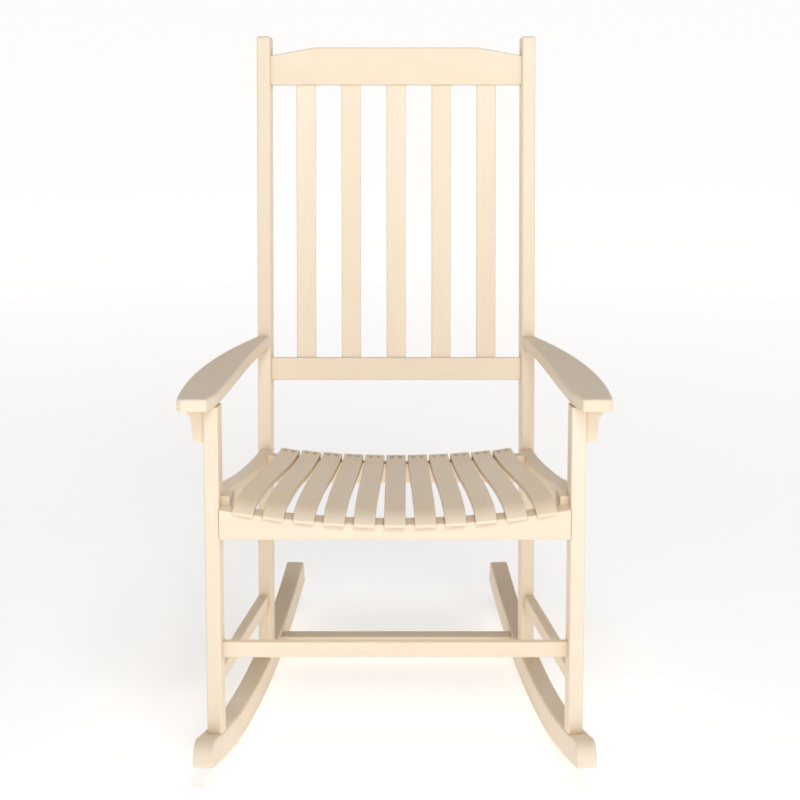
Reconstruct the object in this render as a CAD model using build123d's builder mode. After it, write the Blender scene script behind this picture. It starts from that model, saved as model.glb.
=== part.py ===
from build123d import *
import os
from math import asin, cos, degrees, radians, sin, sqrt, tan

# A slatted porch rocking chair of painted wood, in millimetres.
# The chair faces -Y. Each side frame (leg, post, rails and rocker) lies in a vertical plane that is
# toed in towards the back. The pieces are drawn with the arms level: heights are above the lowest
# line of the rockers, and set-backs are measured rearward (+Y) from the front edge of the front
# legs. The finished chair is then rolled back to where it balances, with the origin on the floor
# under the middle of its box. side is -1 for the left frame and +1 for the right one. Boards meet
# face to face, and their tenons fill the mortises cut for them.

# Side frames
inner_half_width = 278.0
toe_in = 7.0
leg_width = 24.0
leg_depth = 35.0
leg_lean = 1.1
leg_foot_setback = -8.0
leg_edge_radius = 3.0
post_lean = 8.9
post_foot_setback = 413.5
post_half_gap = 224.0
post_length = 1164.0
post_edge_radius = 4.0

# Rockers
rocker_radius = 1700.0
rocker_depth = 45.0
rocker_width = 33.0
rocker_contact = 272.0
rocker_nose = -80.0
rocker_tail = 806.0
rest_lean = 2.5
nose_top_radius = 26.0
nose_bottom_radius = 8.0
tail_radius = 6.0
rocker_edge_radius = 3.0

# Arms, with half widths measured from the middle of the chair
arm_top = 625.0
arm_thickness = 21.0
arm_front = -33.0
arm_rear = 530.0
arm_edge_radius = 4.5
arm_outer_radius = 1450.0
arm_outer_half_width = 339.0
arm_outer_rear_half_width = 242.0
arm_front_half_width = 332.0
arm_chamfer = 7.0
arm_corner_radius = 5.0
arm_inner_half_width = 292.0
arm_shoulder_setback = 9.0
arm_shoulder_half_width = 279.0
arm_waist_setback = 215.0
arm_waist_half_width = 259.0
arm_neck_setback = 355.0
arm_neck_half_width = 246.0
arm_inner_rear_half_width = 222.0

# Back
back_rail_thickness = 20.0
back_rail_setback = 7.5
crest_bottom = 1066.0
crest_end_top = 1117.0
crest_top = 1131.0
crest_flat_half_width = 145.0
lower_rail_bottom = 547.0
lower_rail_top = 587.0
back_slat_count = 5
back_slat_pitch = 80.2
back_slat_width = 34.5
back_slat_thickness = 11.0
back_slat_housing = 12.0

# Seat slats, whose profile is measured from the line between their two top ends
seat_slat_count = 11
seat_slat_width = 34.0
seat_slat_thickness = 11.0
seat_slat_nose = 5.0
seat_slat_edge_radius = 2.0
seat_rear_setback = 440.0
seat_front_setback = -8.0
seat_rear_pitch = 37.3
seat_front_pitch = 48.2
seat_rear_height = 424.0
seat_front_height = 417.0
seat_dish_radius = 1613.0
seat_hollow_place = 0.335
seat_hollow_rise = 3.3
seat_crown_place = 0.79
seat_crown_rise = 18.5
seat_brow_place = 0.926
seat_brow_rise = 16.5

# Seat frame
apron_setback = -1.0
apron_thickness = 21.0
apron_bottom = 390.5
apron_front_top = 415.5
apron_rear_top = 423.0
rear_rail_setback = 418.0
rear_rail_thickness = 22.0
rear_rail_bottom = 379.5
side_rail_bottom = 385.0
side_rail_front_top = 446.0
side_rail_crown_setback = 98.0
side_rail_crown_top = 453.0
side_rail_waist_setback = 206.0
side_rail_waist_top = 441.5
side_rail_dip_setback = 302.0
side_rail_dip_top = 432.0
side_rail_rear_top = 427.0
block_setback = 17.0
block_length = 40.0
block_width = 14.0
block_bottom = 396.0
block_top = 458.0

# Stretchers
front_stretcher_setback = 12.0
front_stretcher_thickness = 16.0
front_stretcher_bottom = 191.5
front_stretcher_height = 26.0
side_stretcher_inset = 6.0
side_stretcher_bottom = 139.5
side_stretcher_top = 164.5
rear_stretcher_setback = 530.0
rear_stretcher_thickness = 35.0
rear_stretcher_bottom = 34.0
rear_stretcher_height = 24.0

# Corbels under the arms
corbel_height = 58.0
corbel_cap_height = 11.0
corbel_cove_height = 17.0
corbel_top_width = 27.0
corbel_waist_width = 19.5
corbel_foot_width = 16.0
corbel_thickness = 27.0
corbel_setback = 4.0

# Joinery and screws
board_edge_radius = 2.5
tenon_length = 13.0
tenon_shoulder = 4.0
tenon_root = 39.0
end_edge_length = 70.0
screw_spacing = 14.0
screw_setback = 12.0
screw_proud = 0.4
screw_length = 28.0
screw_shank_radius = 1.8
screw_head_radius = 3.6
screw_head_height = 3.0
screw_slot_width = 0.9
screw_slot_depth = 1.2

vertical = Vector(0, 0, 1)
leg_top = arm_top - arm_thickness


def frame_plane(side):
    """Inner face of a side frame: x runs rearward from the front edge of the leg, y runs up."""
    toe = radians(toe_in)
    rearward = Vector(-side * sin(toe), cos(toe), 0)
    origin = (side * inner_half_width, 0, 0)
    return Plane(origin=origin, x_dir=rearward, z_dir=rearward.cross(vertical))


def post_plane(side):
    """Inner face of a rear post, with the front edge of the post as its y axis. The post leans
    straight back, and is turned about that edge by the toe-in."""
    toe = radians(toe_in)
    square_back = back_plane().z_dir * -cos(toe)
    x_dir = square_back - Vector(side * sin(toe), 0, 0)
    origin = (side * post_half_gap, post_foot_setback, 0)
    return Plane(origin=origin, x_dir=x_dir, z_dir=x_dir.cross(back_plane().y_dir))


def post_face(side):
    """Front face of a rear post, with its normal towards the front."""
    post = post_plane(side)
    return Plane(origin=post.origin, x_dir=post.y_dir, z_dir=-post.x_dir)


def back_plane():
    """Leaning plane through the front edges of both posts: x runs across, y runs up the slope."""
    across = Vector(1, 0, 0)
    up = Vector(0, sin(radians(post_lean)), cos(radians(post_lean)))
    return Plane(origin=(0, post_foot_setback, 0), x_dir=across, z_dir=across.cross(up))


def seat_slat_plane(index):
    """Middle of a seat slat: x runs forward from its rear end, y runs up, square to the dished seat."""
    rear_x = index * seat_rear_pitch
    front_x = index * seat_front_pitch
    rear_z = seat_rear_height + dish_rise(rear_x)
    front_z = seat_front_height + dish_rise(front_x)
    rear_end = Vector(rear_x, seat_rear_setback, rear_z)
    front_end = Vector(front_x, seat_front_setback, front_z)
    forward = front_end - rear_end
    dish_normal = Vector(-(rear_x + front_x) / 2, 0, seat_dish_radius)
    return Plane(origin=rear_end, x_dir=forward, z_dir=forward.cross(dish_normal))


def dish_rise(x):
    """Rise of the dished seat above its lowest line, at a distance from the middle."""
    return x**2 / (2 * seat_dish_radius)


def leg_front(height):
    return leg_foot_setback + height * tan(radians(leg_lean))


def leg_rear(height):
    return leg_front(height) + leg_depth / cos(radians(leg_lean))


def post_front(height):
    return post_foot_setback + height * tan(radians(post_lean))


def frame_gap(setback):
    """Half the clear width between the side frames at a set-back."""
    return inner_half_width - setback * tan(radians(toe_in))


def rocker_top(setback):
    """Height of the top of a rocker at a set-back."""
    inner_radius = rocker_radius - rocker_depth
    return rocker_radius - sqrt(inner_radius**2 - (setback - rocker_contact) ** 2)


def up_slope(height):
    """Distance up the back plane at a height."""
    return height / back_plane().y_dir.Z


def crosswise_edges(piece):
    """Edges that run mostly across the chair."""
    return piece.edges().filter_by(lambda edge: abs(edge.tangent_at(0.5).X) > 0.9)


def long_edges(piece):
    """Edges that run along a board, which are longer than any around its ends."""
    return piece.edges().filter_by(lambda edge: edge.length > end_edge_length)


def extrude_outline(plane, corners, thickness):
    """Adds a straight-sided board to the part in progress."""
    with BuildSketch(plane) as outline:
        with BuildLine():
            Polyline(*corners, close=True)
        make_face()
    extrude(outline.sketch, amount=thickness)


def extrude_cross_board(setback, thickness, bottom, height, beyond=0):
    """Adds a level board that spans the side frames and runs so far into each of them."""
    back = setback + thickness
    front_end = frame_gap(setback) + beyond
    back_end = frame_gap(back) + beyond
    corners = [(-front_end, setback), (front_end, setback), (back_end, back), (-back_end, back)]
    extrude_outline(Plane.XY.offset(bottom), corners, height)


def trim_between(end_plane):
    """Cuts both ends of the part in progress at the inner faces of the side frames or posts."""
    split(bisect_by=end_plane(1), keep=Keep.BOTTOM)
    split(bisect_by=end_plane(-1), keep=Keep.TOP)


def trim_to_rocker(side):
    """Cuts the foot of the part in progress to the curved top of its rocker."""
    with BuildSketch(frame_plane(side)) as above_rocker:
        with Locations((rocker_contact, rocker_radius)):
            Circle(rocker_radius - rocker_depth)
    extrude(above_rocker.sketch, amount=2 * leg_depth, both=True, mode=Mode.INTERSECT)


def rail_corners(bottom, top, into_leg=0, past_post_face=leg_depth):
    """Corners of a rail from a leg to a post, on the plane of a side frame."""
    stretch = 1 / cos(radians(toe_in))
    return [
        (leg_rear(bottom) - into_leg, bottom),
        (post_front(bottom) * stretch + past_post_face, bottom),
        (post_front(top) * stretch + past_post_face, top),
        (leg_rear(top) - into_leg, top),
    ]


def make_seat_slat_screws(indexes):
    """Countersunk screws that fix the rear ends of the slats, two in each."""
    shank_bottom = (Align.CENTER, Align.CENTER, Align.MAX)
    heads = []
    for index in indexes:
        slat = seat_slat_plane(index)
        for offset in (-screw_spacing / 2, screw_spacing / 2):
            head = slat.from_local_coords((screw_setback, screw_proud, offset))
            heads.append(Plane(origin=head, x_dir=slat.x_dir, z_dir=slat.y_dir))
    with BuildPart() as screws:
        with Locations(heads):
            Cylinder(screw_shank_radius, screw_length, align=shank_bottom)
            Cone(screw_shank_radius, screw_head_radius, screw_head_height, align=shank_bottom)
            Box(
                screw_slot_width,
                2 * screw_head_radius,
                screw_slot_depth,
                align=shank_bottom,
                mode=Mode.SUBTRACT,
            )
    return screws


def make_seat_slat(index, screw_cutters):
    """Contoured slat: nearly level at the back, rising to a crown and rolling over the apron."""
    plane = seat_slat_plane(index)
    length = seat_rear_setback - seat_front_setback
    top_points = [
        (0, 0),
        (seat_hollow_place * length, seat_hollow_rise),
        (seat_crown_place * length, seat_crown_rise),
        (seat_brow_place * length, seat_brow_rise),
    ]
    with BuildPart() as seat_slat:
        with BuildSketch(plane):
            with BuildLine():
                top = Spline(*top_points)
                top_nose = TangentArc(top @ 1, (length, 0), tangent=top % 1)
                underside = Spline(*[(x, y - seat_slat_thickness) for x, y in top_points])
                under_nose = TangentArc(underside @ 1, (length, -seat_slat_nose), tangent=underside % 1)
                Line(top_nose @ 1, under_nose @ 1)
                Line(top @ 0, underside @ 0)
            make_face()
        extrude(amount=seat_slat_width / 2, both=True)
        fillet(seat_slat.faces().filter_by(plane).edges(), seat_slat_edge_radius)
        add(screw_cutters, mode=Mode.SUBTRACT)
    return seat_slat


def make_apron(seat_slats):
    """Front seat rail: its top is dished, slopes up to the back and is notched for the slats."""
    front_plane = Plane(origin=(0, apron_setback, 0), x_dir=(1, 0, 0), z_dir=(0, -1, 0))
    top_slope = Vector(0, apron_thickness, apron_rear_top - apron_front_top)
    end = frame_gap(apron_setback) + tenon_length
    end_top = apron_front_top + dish_rise(end)
    below = apron_bottom - (apron_rear_top - apron_front_top)
    with BuildPart() as apron:
        with BuildSketch(front_plane):
            with BuildLine():
                ThreePointArc((-end, end_top), (0, apron_front_top), (end, end_top))
                Polyline((end, end_top), (end, below), (-end, below), (-end, end_top))
            make_face()
        extrude(amount=top_slope.length, dir=top_slope)
        split(bisect_by=Plane.XY.offset(apron_bottom), keep=Keep.TOP)
        trim_between(frame_plane)
        fillet(crosswise_edges(apron), board_edge_radius)
        extrude_cross_board(
            apron_setback + tenon_shoulder,
            apron_thickness - 2 * tenon_shoulder,
            apron_bottom + tenon_shoulder,
            apron_front_top - apron_bottom - 2 * tenon_shoulder,
            tenon_length,
        )
        add(seat_slats, mode=Mode.SUBTRACT)
    return apron


def make_rear_seat_rail(seat_slats, screws):
    """Rail under the rear ends of the slats, with a dished top edge."""
    front_plane = Plane(origin=(0, rear_rail_setback, 0), x_dir=(1, 0, 0), z_dir=(0, -1, 0))
    rail_top = seat_rear_height - seat_slat_thickness
    end = frame_gap(rear_rail_setback) + tenon_length
    end_top = rail_top + dish_rise(end)
    with BuildPart() as rear_rail:
        with BuildSketch(front_plane):
            with BuildLine():
                ThreePointArc((-end, end_top), (0, rail_top), (end, end_top))
                Polyline(
                    (end, end_top), (end, rear_rail_bottom), (-end, rear_rail_bottom), (-end, end_top)
                )
            make_face()
        extrude(amount=-rear_rail_thickness)
        trim_between(frame_plane)
        extrude_cross_board(
            rear_rail_setback + tenon_shoulder,
            rear_rail_thickness - 2 * tenon_shoulder,
            side_rail_bottom + tenon_shoulder,
            rail_top - side_rail_bottom - 2 * tenon_shoulder,
            tenon_length,
        )
        add(seat_slats, mode=Mode.SUBTRACT)
        add(screws, mode=Mode.SUBTRACT)
    return rear_rail


def make_cross_stretcher(setback, thickness, bottom, height):
    """Straight board between the side frames, with a tenon at each end."""
    with BuildPart() as stretcher:
        extrude_cross_board(setback, thickness, bottom, height)
        fillet(crosswise_edges(stretcher), board_edge_radius)
        extrude_cross_board(
            setback + tenon_shoulder,
            thickness - 2 * tenon_shoulder,
            bottom + tenon_shoulder,
            height - 2 * tenon_shoulder,
            tenon_length,
        )
    return stretcher


def make_side_seat_rail(side, rear_rail):
    """Rail beside the seat, from leg to post, whose top edge follows the contour of the slats."""
    tenon_bottom = side_rail_bottom + tenon_shoulder
    tenon_top = side_rail_rear_top - tenon_shoulder
    tenon_plane = frame_plane(side).offset(side * 2 * tenon_shoulder)
    tenon_thickness = leg_width - 3 * tenon_shoulder
    past_post = post_front(side_rail_rear_top) + leg_depth
    with BuildPart() as side_rail:
        with BuildSketch(frame_plane(side)):
            with BuildLine():
                front_end = (leg_rear(side_rail_front_top), side_rail_front_top)
                rear_end = (past_post, side_rail_rear_top)
                top = Spline(
                    front_end,
                    (side_rail_crown_setback, side_rail_crown_top),
                    (side_rail_waist_setback, side_rail_waist_top),
                    (side_rail_dip_setback, side_rail_dip_top),
                    rear_end,
                )
                Polyline(
                    top @ 0,
                    (leg_rear(side_rail_bottom), side_rail_bottom),
                    (past_post, side_rail_bottom),
                    top @ 1,
                )
            make_face()
        extrude(amount=side * leg_width)
        fillet(long_edges(side_rail), board_edge_radius)
        split(bisect_by=post_face(side), keep=Keep.TOP)
        corners = rail_corners(tenon_bottom, tenon_top, tenon_length, tenon_length)
        extrude_outline(tenon_plane, corners, side * tenon_thickness)
        add(rear_rail, mode=Mode.SUBTRACT)
    return side_rail


def make_side_stretcher(side):
    """Low rail from leg to post, flush with their outer faces."""
    thickness = leg_width - side_stretcher_inset
    outer_part = frame_plane(side).offset(side * side_stretcher_inset)
    tenon_plane = outer_part.offset(side * tenon_shoulder)
    tenon_bottom = side_stretcher_bottom + tenon_shoulder
    tenon_top = side_stretcher_top - tenon_shoulder
    with BuildPart() as stretcher:
        corners = rail_corners(side_stretcher_bottom, side_stretcher_top)
        extrude_outline(outer_part, corners, side * thickness)
        fillet(long_edges(stretcher), board_edge_radius)
        split(bisect_by=post_face(side), keep=Keep.TOP)
        tenon_corners = rail_corners(tenon_bottom, tenon_top, tenon_length, tenon_length)
        extrude_outline(tenon_plane, tenon_corners, side * (thickness - 2 * tenon_shoulder))
    return stretcher


def make_corner_block(side, apron):
    """Block behind the apron, in the corner between the seat and the leg."""
    block_end = block_setback + block_length
    corners = [
        (block_setback, block_bottom),
        (block_end, block_bottom),
        (block_end, block_top),
        (block_setback, block_top),
    ]
    with BuildPart() as block:
        extrude_outline(frame_plane(side).offset(-side * block_width), corners, side * block_width)
        add(apron, mode=Mode.SUBTRACT)
    return block


def make_front_leg(side, joined):
    """Leg with a tenon at each end, from the rocker to the arm."""
    corners = [
        (leg_front(0), 0),
        (leg_rear(0), 0),
        (leg_rear(leg_top), leg_top),
        (leg_front(leg_top), leg_top),
    ]
    tenon_foot = rocker_top(0) - tenon_length
    tenon_head = leg_top + tenon_length
    tenon_corners = [
        (leg_front(tenon_foot) + tenon_shoulder, tenon_foot),
        (leg_rear(tenon_foot) - tenon_shoulder, tenon_foot),
        (leg_rear(tenon_head) - tenon_shoulder, tenon_head),
        (leg_front(tenon_head) + tenon_shoulder, tenon_head),
    ]
    tenon_plane = frame_plane(side).offset(side * tenon_shoulder)
    tenon_thickness = leg_width - 2 * tenon_shoulder
    with BuildPart() as leg:
        extrude_outline(frame_plane(side), corners, side * leg_width)
        fillet(long_edges(leg), leg_edge_radius)
        trim_to_rocker(side)
        extrude_outline(tenon_plane, tenon_corners, side * tenon_thickness)
        add(joined, mode=Mode.SUBTRACT)
    return leg


def make_rear_post(side, joined):
    """Leaning post from the rocker to above the crest rail, with a rounded top."""
    plane = post_plane(side)
    tenon_foot = rocker_top(post_foot_setback) - tenon_length
    tenon_plane = plane.offset(side * tenon_shoulder)
    tenon_front = tenon_shoulder
    tenon_rear = leg_depth - tenon_shoulder
    tenon_head = tenon_foot + tenon_length + tenon_root
    with BuildPart() as post:
        corners = [(0, 0), (leg_depth, 0), (leg_depth, post_length), (0, post_length)]
        extrude_outline(plane, corners, side * leg_width)
        top_edges = post.faces().sort_by(Axis(plane.origin, plane.y_dir))[-1].edges()
        fillet(long_edges(post) + top_edges, post_edge_radius)
        trim_to_rocker(side)
        tenon_corners = [
            (tenon_front, tenon_foot),
            (tenon_rear, tenon_foot),
            (tenon_rear, tenon_head),
            (tenon_front, tenon_head),
        ]
        extrude_outline(tenon_plane, tenon_corners, side * (leg_width - 2 * tenon_shoulder))
        add(joined, mode=Mode.SUBTRACT)
    return post


def make_rocker(side, joined):
    """Curved board under a side frame, flush with its inner face, with a rounded nose."""
    nose_angle = degrees(asin((rocker_contact - rocker_nose) / rocker_radius))
    tail_angle = degrees(asin((rocker_tail - rocker_contact) / rocker_radius))
    centre = (rocker_contact, rocker_radius)
    top_radius = rocker_radius - rocker_depth
    with BuildPart() as rocker:
        with BuildSketch(frame_plane(side)) as outline:
            with BuildLine():
                bottom = CenterArc(centre, rocker_radius, 270 - nose_angle, nose_angle + tail_angle)
                top = CenterArc(centre, top_radius, 270 - nose_angle, nose_angle + tail_angle)
                Line(bottom @ 0, top @ 0)
                Line(bottom @ 1, top @ 1)
            make_face()
            fillet(outline.vertices().sort_by(Axis.X)[-2:], tail_radius)
            fillet(outline.vertices().sort_by(Axis.X)[1], nose_top_radius)
            fillet(outline.vertices().sort_by(Axis.X)[0], nose_bottom_radius)
        extrude(amount=side * rocker_width)
        fillet(rocker.faces().filter_by(frame_plane(side)).edges(), rocker_edge_radius)
        add(joined, mode=Mode.SUBTRACT)
    return rocker


def make_arm(side, leg):
    """Flat arm with a bowed outer edge, a waisted inner edge and a rear end against the post."""
    outer_front = (side * arm_outer_half_width, arm_front + arm_chamfer)
    outer_rear = (side * arm_outer_rear_half_width, arm_rear)
    inner_rear = (side * arm_inner_rear_half_width, arm_rear)
    with BuildPart() as arm:
        with BuildSketch(Plane.XY.offset(leg_top)) as outline:
            with BuildLine():
                RadiusArc(outer_front, outer_rear, -side * arm_outer_radius)
                inner_edge = Spline(
                    inner_rear,
                    (side * arm_neck_half_width, arm_neck_setback),
                    (side * arm_waist_half_width, arm_waist_setback),
                    (side * arm_shoulder_half_width, arm_shoulder_setback),
                )
                Polyline(
                    inner_edge @ 1,
                    (side * arm_inner_half_width, arm_front),
                    (side * arm_front_half_width, arm_front),
                    outer_front,
                )
                Line(outer_rear, inner_rear)
            make_face()
            fillet(outline.vertices().group_by(Axis.Y)[0], arm_corner_radius)
        extrude(amount=arm_thickness)
        fillet(arm.faces().filter_by(Axis.Z).edges().sort_by(Axis.Y)[:-2], arm_edge_radius)
        split(bisect_by=post_face(side), keep=Keep.TOP)
        add(leg, mode=Mode.SUBTRACT)
    return arm


def make_arm_corbel(side):
    """Bracket under the arm, on the outer face of the leg, with a cove and a tapered foot."""
    frame = frame_plane(side)
    outward = frame.z_dir * side
    origin = frame.from_local_coords((leg_front(leg_top) + corbel_setback, 0, side * leg_width))
    plane = Plane(origin=origin, x_dir=outward, z_dir=outward.cross(vertical))
    cap_bottom = leg_top - corbel_cap_height
    waist = cap_bottom - corbel_cove_height
    foot = leg_top - corbel_height
    with BuildPart() as corbel:
        with BuildSketch(plane):
            with BuildLine():
                cove = TangentArc((corbel_waist_width, waist), (corbel_top_width, cap_bottom), tangent=(0, 1))
                Polyline(
                    cove @ 0,
                    (corbel_foot_width, foot),
                    (0, foot),
                    (0, leg_top),
                    (corbel_top_width, leg_top),
                    cove @ 1,
                )
            make_face()
        extrude(amount=-side * corbel_thickness)
    return corbel


def make_back_slat(index):
    """Flat upright slat, let into the crest rail and the lower back rail."""
    bottom = up_slope(lower_rail_top) - back_slat_housing
    top = up_slope(crest_bottom) + back_slat_housing
    face_depth = back_rail_setback + (back_rail_thickness - back_slat_thickness) / 2
    with BuildPart() as back_slat:
        with BuildSketch(back_plane().offset(-face_depth)):
            with Locations((index * back_slat_pitch, (bottom + top) / 2)):
                Rectangle(back_slat_width, top - bottom)
        extrude(amount=-back_slat_thickness)
        fillet(long_edges(back_slat), board_edge_radius)
    return back_slat


def make_back_rail(corners, tenon_bottom, tenon_top, back_slats):
    """Rail between the posts, drawn on the back plane, with tenons and with housings for the slats."""
    face = back_plane().offset(-back_rail_setback)
    tenon_end = post_half_gap + tenon_length
    with BuildPart() as rail:
        extrude_outline(face, corners, -back_rail_thickness)
        trim_between(post_plane)
        fillet(crosswise_edges(rail), board_edge_radius)
        with BuildSketch(face.offset(-tenon_shoulder)):
            with Locations((0, (up_slope(tenon_bottom) + up_slope(tenon_top)) / 2)):
                Rectangle(2 * tenon_end, up_slope(tenon_top) - up_slope(tenon_bottom))
        extrude(amount=2 * tenon_shoulder - back_rail_thickness)
        add(back_slats, mode=Mode.SUBTRACT)
    return rail


def make_crest_rail(back_slats):
    """Top rail of the back: level in the middle, with ends that slope down to the posts."""
    end = post_half_gap
    corners = [
        (-end, up_slope(crest_bottom)),
        (end, up_slope(crest_bottom)),
        (end, up_slope(crest_end_top)),
        (crest_flat_half_width, up_slope(crest_top)),
        (-crest_flat_half_width, up_slope(crest_top)),
        (-end, up_slope(crest_end_top)),
    ]
    tenon_bottom = crest_bottom + tenon_shoulder
    tenon_top = crest_end_top - 2 * tenon_shoulder
    return make_back_rail(corners, tenon_bottom, tenon_top, back_slats)


def make_lower_back_rail(back_slats):
    """Bottom rail of the back."""
    end = post_half_gap
    corners = [
        (-end, up_slope(lower_rail_bottom)),
        (end, up_slope(lower_rail_bottom)),
        (end, up_slope(lower_rail_top)),
        (-end, up_slope(lower_rail_top)),
    ]
    tenon_bottom = lower_rail_bottom + tenon_shoulder
    tenon_top = lower_rail_top - tenon_shoulder
    return make_back_rail(corners, tenon_bottom, tenon_top, back_slats)


def settle(part):
    """Rolls a part back on the rockers, from level arms to the pose in which the chair balances."""
    contact_y = rocker_contact * cos(radians(toe_in))
    return part.rotate(Axis((0, contact_y, rocker_radius), (1, 0, 0)), -rest_lean)


pieces = {}
seat_indexes = range(-(seat_slat_count // 2), seat_slat_count // 2 + 1)
back_indexes = range(-(back_slat_count // 2), back_slat_count // 2 + 1)

screws = make_seat_slat_screws(seat_indexes).part
pieces["seat_slat_screws"] = screws
seat_slats = [make_seat_slat(index, screws).part for index in seat_indexes]
for number, seat_slat in enumerate(seat_slats, start=1):
    pieces[f"seat_slat_{number:02d}"] = seat_slat
back_slats = [make_back_slat(index).part for index in back_indexes]
for number, back_slat in enumerate(back_slats, start=1):
    pieces[f"back_slat_{number}"] = back_slat

apron = make_apron(seat_slats).part
rear_rail = make_rear_seat_rail(seat_slats, screws).part
crest_rail = make_crest_rail(back_slats).part
lower_back_rail = make_lower_back_rail(back_slats).part
front_stretcher = make_cross_stretcher(
    front_stretcher_setback,
    front_stretcher_thickness,
    front_stretcher_bottom,
    front_stretcher_height,
).part
rear_stretcher = make_cross_stretcher(
    rear_stretcher_setback,
    rear_stretcher_thickness,
    rear_stretcher_bottom,
    rear_stretcher_height,
).part
pieces["front_apron"] = apron
pieces["rear_seat_rail"] = rear_rail
pieces["crest_rail"] = crest_rail
pieces["lower_back_rail"] = lower_back_rail
pieces["front_stretcher"] = front_stretcher
pieces["rear_stretcher"] = rear_stretcher

for side, name in ((-1, "left"), (1, "right")):
    side_rail = make_side_seat_rail(side, rear_rail).part
    side_stretcher = make_side_stretcher(side).part
    side_boards = [side_rail, side_stretcher]
    leg = make_front_leg(side, side_boards + [apron, front_stretcher]).part
    post = make_rear_post(side, side_boards + [crest_rail, lower_back_rail]).part
    pieces[f"side_seat_rail_{name}"] = side_rail
    pieces[f"side_stretcher_{name}"] = side_stretcher
    pieces[f"front_leg_{name}"] = leg
    pieces[f"rear_post_{name}"] = post
    pieces[f"rocker_{name}"] = make_rocker(side, [leg, post, rear_stretcher]).part
    pieces[f"arm_{name}"] = make_arm(side, leg).part
    pieces[f"arm_corbel_{name}"] = make_arm_corbel(side).part
    pieces[f"corner_block_{name}"] = make_corner_block(side, apron).part

settled = {name: settle(part) for name, part in pieces.items()}
boxes = [part.bounding_box() for part in settled.values()]
front_y = min(box.min.Y for box in boxes)
back_y = max(box.max.Y for box in boxes)
floor_z = min(box.min.Z for box in boxes)
to_origin = Vector(0, -(front_y + back_y) / 2, -floor_z)

os.makedirs("parts", exist_ok=True)
for name, part in settled.items():
    placed = part.translate(to_origin)
    placed.label = name
    export_step(placed, f"parts/{name}.step")
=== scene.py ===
from math import radians

import bpy
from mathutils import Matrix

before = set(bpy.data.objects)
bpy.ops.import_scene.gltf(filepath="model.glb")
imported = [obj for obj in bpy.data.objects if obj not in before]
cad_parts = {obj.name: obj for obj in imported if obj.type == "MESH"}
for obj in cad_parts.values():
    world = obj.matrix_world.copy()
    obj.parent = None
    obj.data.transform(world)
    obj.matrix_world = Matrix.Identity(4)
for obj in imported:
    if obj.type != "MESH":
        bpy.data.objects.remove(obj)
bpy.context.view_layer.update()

# A painted wooden rocking chair in soft light from the front. Every piece of the chair is a CAD
# node, and this script gives each one its finish: satin ivory paint over boards, whose grain runs
# along each board, and dull zinc-plated steel for the screws. Lengths are in metres, angles in
# degrees, and colours are linear.

paint_plain = (0.86, 0.73, 0.56)
paint_warm = (0.78, 0.62, 0.44)
paint_pale = (0.91, 0.80, 0.65)
# Colour of worn edges, also used as the painted shade in joints, gaps and under overhangs.
worn_and_shaded_paint = (0.60, 0.44, 0.27)
zinc = (0.80, 0.74, 0.64)
tarnished_zinc = (0.52, 0.46, 0.38)
floor_dim = (0.93, 0.95, 0.98)
floor_bright = (0.95, 0.97, 1.0)
horizon_tint = (1.0, 0.98, 0.97)
overhead_tint = (1.0, 0.90, 0.80)
white = (1.0, 1.0, 1.0, 1.0)

post_tilt = 11.4
seat_tilt = 2.5
camera_tilt = 14.5

worn_edge_radius = 0.003
# Reach of the painted shade in joints, gaps and under overhangs.
painted_shade_reach = 0.03
paint_relief = 0.0006
zinc_relief = 0.0002
floor_size = 80.0
glow_start = 0.6
glow_end = 4.0

grain_turns = {
    "across": (0, 90, 0),
    "along_seat": (90 - seat_tilt, 0, 0),
    "upright": (0, 0, 0),
    "leaning": (post_tilt, 0, 0),
}
boards = {
    "across": (
        "crest_rail",
        "lower_back_rail",
        "front_apron",
        "rear_seat_rail",
        "front_stretcher",
        "rear_stretcher",
    ),
    "along_seat": ("seat_slat_0", "seat_slat_1", "arm_left", "arm_right", "side_", "rocker"),
    "upright": ("front_leg", "arm_corbel", "corner_block"),
    "leaning": ("rear_post", "back_slat"),
}


def add_node(tree, kind, inputs=None, **settings):
    """Adds a shader node with its settings and inputs, where an input is a value or a socket."""
    node = tree.nodes.new(kind)
    for name, value in settings.items():
        setattr(node, name, value)
    for name, value in (inputs or {}).items():
        if isinstance(value, bpy.types.NodeSocket):
            tree.links.new(value, node.inputs[name])
        else:
            node.inputs[name].default_value = value
    return node


def new_material(name):
    """Returns a node material with a bare Principled shader, its node tree and the shader."""
    material = bpy.data.materials.new(name)
    material.use_nodes = True
    tree = material.node_tree
    tree.nodes.clear()
    shader = add_node(tree, "ShaderNodeBsdfPrincipled")
    output = add_node(tree, "ShaderNodeOutputMaterial")
    tree.links.new(shader.outputs["BSDF"], output.inputs["Surface"])
    return material, tree, shader


def board_coordinates(tree, turn):
    """Object coordinates turned so that Z runs along the board, and shifted by a different amount
    on each piece, so that no two boards carry the same grain."""
    place = add_node(tree, "ShaderNodeTexCoord")
    piece = add_node(tree, "ShaderNodeObjectInfo")
    shift = add_node(
        tree,
        "ShaderNodeVectorMath",
        {0: piece.outputs["Random"], 1: (37.0, 53.0, 71.0)},
        operation="MULTIPLY",
    )
    turned = add_node(
        tree,
        "ShaderNodeMapping",
        {"Vector": place.outputs["Object"], "Rotation": [radians(angle) for angle in turn]},
    )
    return add_node(
        tree, "ShaderNodeVectorMath", {0: turned.outputs[0], 1: shift.outputs[0]}, operation="ADD"
    ).outputs[0]


def noise(tree, coordinates, stretch, scale, detail=3.0, roughness=0.55):
    """Noise drawn out along the board by the factor stretch. Returns the socket with its value."""
    drawn = add_node(
        tree,
        "ShaderNodeVectorMath",
        {0: coordinates, 1: (1.0, 1.0, 1.0 / stretch)},
        operation="MULTIPLY",
    )
    return add_node(
        tree,
        "ShaderNodeTexNoise",
        {"Vector": drawn.outputs[0], "Scale": scale, "Detail": detail, "Roughness": roughness},
    ).outputs["Fac"]


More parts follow.
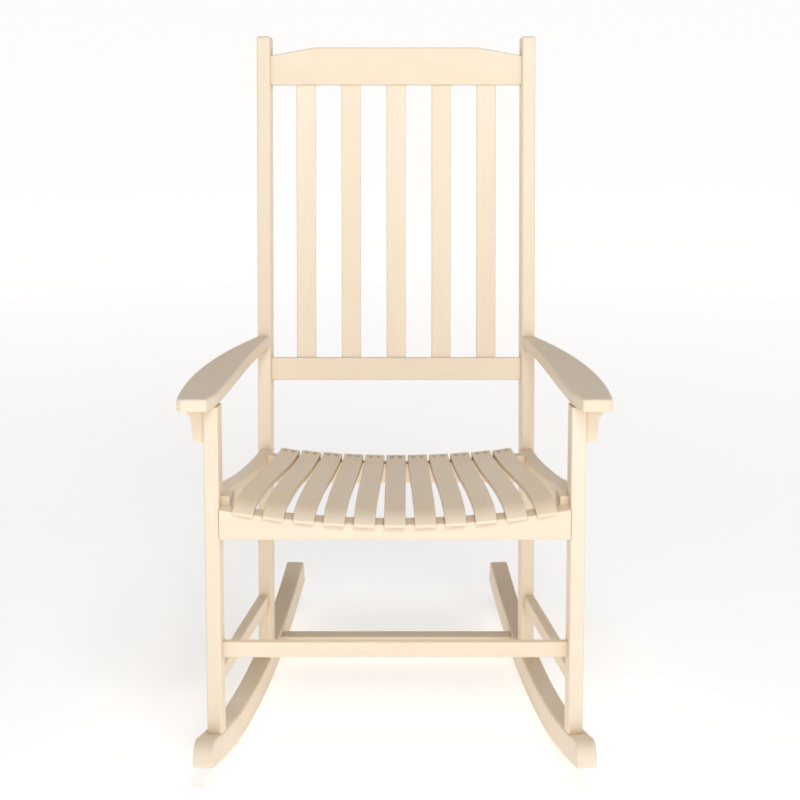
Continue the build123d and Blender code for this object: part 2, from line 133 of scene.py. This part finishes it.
def remap(tree, value, low, high, new_low=0.0, new_high=1.0):
    """Maps low to new_low and high to new_high, with no values beyond them."""
    return add_node(
        tree,
        "ShaderNodeMapRange",
        {"Value": value, "From Min": low, "From Max": high, "To Min": new_low, "To Max": new_high},
    ).outputs["Result"]


def math(tree, operation, first, second):
    return add_node(tree, "ShaderNodeMath", {0: first, 1: second}, operation=operation).outputs[0]


def mix_colour(tree, factor, first, second):
    node = add_node(tree, "ShaderNodeMix", data_type="RGBA")
    sockets = (node.inputs[0], node.inputs[6], node.inputs[7])
    for socket, value in zip(sockets, (factor, first, second)):
        if isinstance(value, bpy.types.NodeSocket):
            tree.links.new(value, socket)
        elif isinstance(value, tuple):
            socket.default_value = (*value, 1.0)
        else:
            socket.default_value = value
    return node.outputs[2]


def edge_mask(tree, radius, low, high):
    """1 along the sharp and eased edges of a piece, 0 on its flat faces."""
    rounded = add_node(tree, "ShaderNodeBevel", {"Radius": radius}, samples=6)
    true = add_node(tree, "ShaderNodeNewGeometry")
    agreement = add_node(
        tree,
        "ShaderNodeVectorMath",
        {0: rounded.outputs[0], 1: true.outputs["Normal"]},
        operation="DOT_PRODUCT",
    )
    return remap(tree, agreement.outputs["Value"], high, low)


def make_paint(name, turn):
    """Satin ivory paint on smooth wood: brushed along the board, with the grain just telegraphing
    through it, a slightly different tone on each board, thin warm paint on worn edges, and painted
    shade darkening the joints, the gaps between slats and the paint under overhangs."""
    material, tree, shader = new_material(name)
    place = board_coordinates(tree, turn)
    piece = add_node(tree, "ShaderNodeObjectInfo").outputs["Random"]

    clouds = noise(tree, place, 4.0, 9.0, 4.0)
    grain = noise(tree, place, 28.0, 330.0, 4.0, 0.62)
    strokes = noise(tree, place, 60.0, 900.0, 2.0)
    pores = noise(tree, place, 9.0, 1500.0, 1.0)

    tone = mix_colour(tree, remap(tree, clouds, 0.35, 0.7), paint_plain, paint_pale)
    tone = mix_colour(tree, remap(tree, grain, 0.52, 0.78, 0.0, 0.30), tone, paint_warm)
    tone = mix_colour(tree, remap(tree, piece, 0.0, 1.0, 0.0, 0.16), tone, paint_warm)
    edges = edge_mask(tree, worn_edge_radius, 0.90, 0.995)
    wear = math(tree, "MULTIPLY", edges, remap(tree, clouds, 0.45, 0.62))
    tone = mix_colour(tree, math(tree, "MULTIPLY", wear, 0.45), tone, worn_and_shaded_paint)
    # Painted shade: ambient occlusion darkens the paint in joints, in the gaps between slats and
    # under the slat noses.
    shade_probe = add_node(tree, "ShaderNodeAmbientOcclusion", {"Distance": painted_shade_reach}, samples=6)
    painted_shade = remap(tree, shade_probe.outputs["AO"], 0.30, 0.90, 0.85, 0.0)
    tone = mix_colour(tree, painted_shade, tone, worn_and_shaded_paint)
    tree.links.new(tone, shader.inputs["Base Color"])

    cloudy = remap(tree, clouds, 0.3, 0.7, 0.36, 0.46)
    roughness = math(tree, "ADD", cloudy, math(tree, "MULTIPLY", grain, 0.08))
    roughness = math(tree, "ADD", roughness, math(tree, "MULTIPLY", wear, 0.15))
    tree.links.new(roughness, shader.inputs["Roughness"])
    shader.inputs["Specular IOR Level"].default_value = 0.4
    shader.inputs["Coat Weight"].default_value = 0.12
    shader.inputs["Coat Roughness"].default_value = 0.3

    fibres = math(tree, "MULTIPLY", grain, 0.55)
    relief = math(tree, "ADD", fibres, math(tree, "MULTIPLY", strokes, 0.30))
    relief = math(tree, "ADD", relief, math(tree, "MULTIPLY", pores, 0.15))
    bump = add_node(
        tree, "ShaderNodeBump", {"Height": relief, "Strength": 0.35, "Distance": paint_relief}
    )
    tree.links.new(bump.outputs["Normal"], shader.inputs["Normal"])
    return material


def make_steel():
    """Dull zinc plating with fine turning marks and a few dark specks."""
    material, tree, shader = new_material("screw_steel")
    place = add_node(tree, "ShaderNodeTexCoord").outputs["Object"]
    specks = noise(tree, place, 1.0, 900.0, 3.0)
    marks = noise(tree, place, 12.0, 4000.0, 2.0)
    tone = mix_colour(tree, remap(tree, specks, 0.45, 0.7), zinc, tarnished_zinc)
    tree.links.new(tone, shader.inputs["Base Color"])
    tree.links.new(remap(tree, specks, 0.3, 0.7, 0.32, 0.5), shader.inputs["Roughness"])
    shader.inputs["Metallic"].default_value = 0.9
    bump = add_node(
        tree, "ShaderNodeBump", {"Height": marks, "Strength": 0.3, "Distance": zinc_relief}
    )
    tree.links.new(bump.outputs["Normal"], shader.inputs["Normal"])
    return material


def set_material(piece, material):
    piece.data.materials.clear()
    piece.data.materials.append(material)


def add_floor():
    """Wide, almost white studio floor, which glows more with distance so that shadows stay faint."""
    bpy.ops.mesh.primitive_plane_add(size=floor_size)
    floor = bpy.context.object
    floor.name = "studio_floor"
    material, tree, shader = new_material("studio_floor")
    place = add_node(tree, "ShaderNodeTexCoord").outputs["Object"]
    tone = mix_colour(tree, noise(tree, place, 1.0, 3.0), floor_dim, floor_bright)
    tree.links.new(tone, shader.inputs["Base Color"])
    shader.inputs["Roughness"].default_value = 0.9
    shader.inputs["Specular IOR Level"].default_value = 0.1
    distance = add_node(tree, "ShaderNodeVectorMath", {0: place}, operation="LENGTH")
    glow = remap(tree, distance.outputs["Value"], glow_start, glow_end, 0.46, 0.70)
    tree.links.new(glow, shader.inputs["Emission Strength"])
    shader.inputs["Emission Color"].default_value = white
    set_material(floor, material)


def add_softbox(name, location, turn, width, height, power):
    """A rectangular area light, which shines down before it is turned."""
    lamp = bpy.data.lights.new(name, "AREA")
    lamp.shape = "RECTANGLE"
    lamp.size = width
    lamp.size_y = height
    lamp.energy = power
    softbox = bpy.data.objects.new(name, lamp)
    softbox.location = location
    softbox.rotation_euler = [radians(angle) for angle in turn]
    bpy.context.collection.objects.link(softbox)


def light_studio():
    """Pale surroundings, dimmer and warmer overhead than at eye level, a broad key from the front
    and a smaller one above it."""
    world = bpy.data.worlds.new("studio")
    world.use_nodes = True
    tree = world.node_tree
    direction = add_node(tree, "ShaderNodeTexCoord").outputs["Generated"]
    height = add_node(tree, "ShaderNodeSeparateXYZ", {"Vector": direction}).outputs["Z"]
    strength = remap(tree, height, 0.0, 0.7, 0.92, 0.18)
    tree.links.new(strength, tree.nodes["Background"].inputs["Strength"])
    tint = mix_colour(tree, remap(tree, height, 0.1, 0.8), horizon_tint, overhead_tint)
    tree.links.new(tint, tree.nodes["Background"].inputs["Color"])
    bpy.context.scene.world = world
    add_softbox("front_key", (0.9, -4.6, 1.4), (85, 0, 11), 3.6, 2.0, 38.0)
    add_softbox("high_key", (0.4, -2.6, 3.3), (40, 0, 8), 1.2, 1.2, 46.0)


def set_tone_curve():
    """Plain tone curve, so that white stays white."""
    view = bpy.context.scene.view_settings
    view.view_transform = "Standard"
    view.look = "None"


def add_camera():
    """Camera in front of the chair, a little above its back, looking down at the seat."""
    lens = bpy.data.cameras.new("camera")
    lens.lens = 100.8
    lens.sensor_width = 36.0
    lens.shift_x = -0.00725
    camera = bpy.data.objects.new("camera", lens)
    camera.location = (0.0172, -3.7247, 1.5059)
    camera.rotation_euler = (radians(90 - camera_tilt), 0, 0)
    bpy.context.collection.objects.link(camera)
    bpy.context.scene.camera = camera


for run, prefixes in boards.items():
    paint = make_paint(f"painted_wood_{run}", grain_turns[run])
    for name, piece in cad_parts.items():
        if name.startswith(prefixes):
            set_material(piece, paint)
set_material(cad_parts["seat_slat_screws"], make_steel())

add_floor()
light_studio()
set_tone_curve()
add_camera()
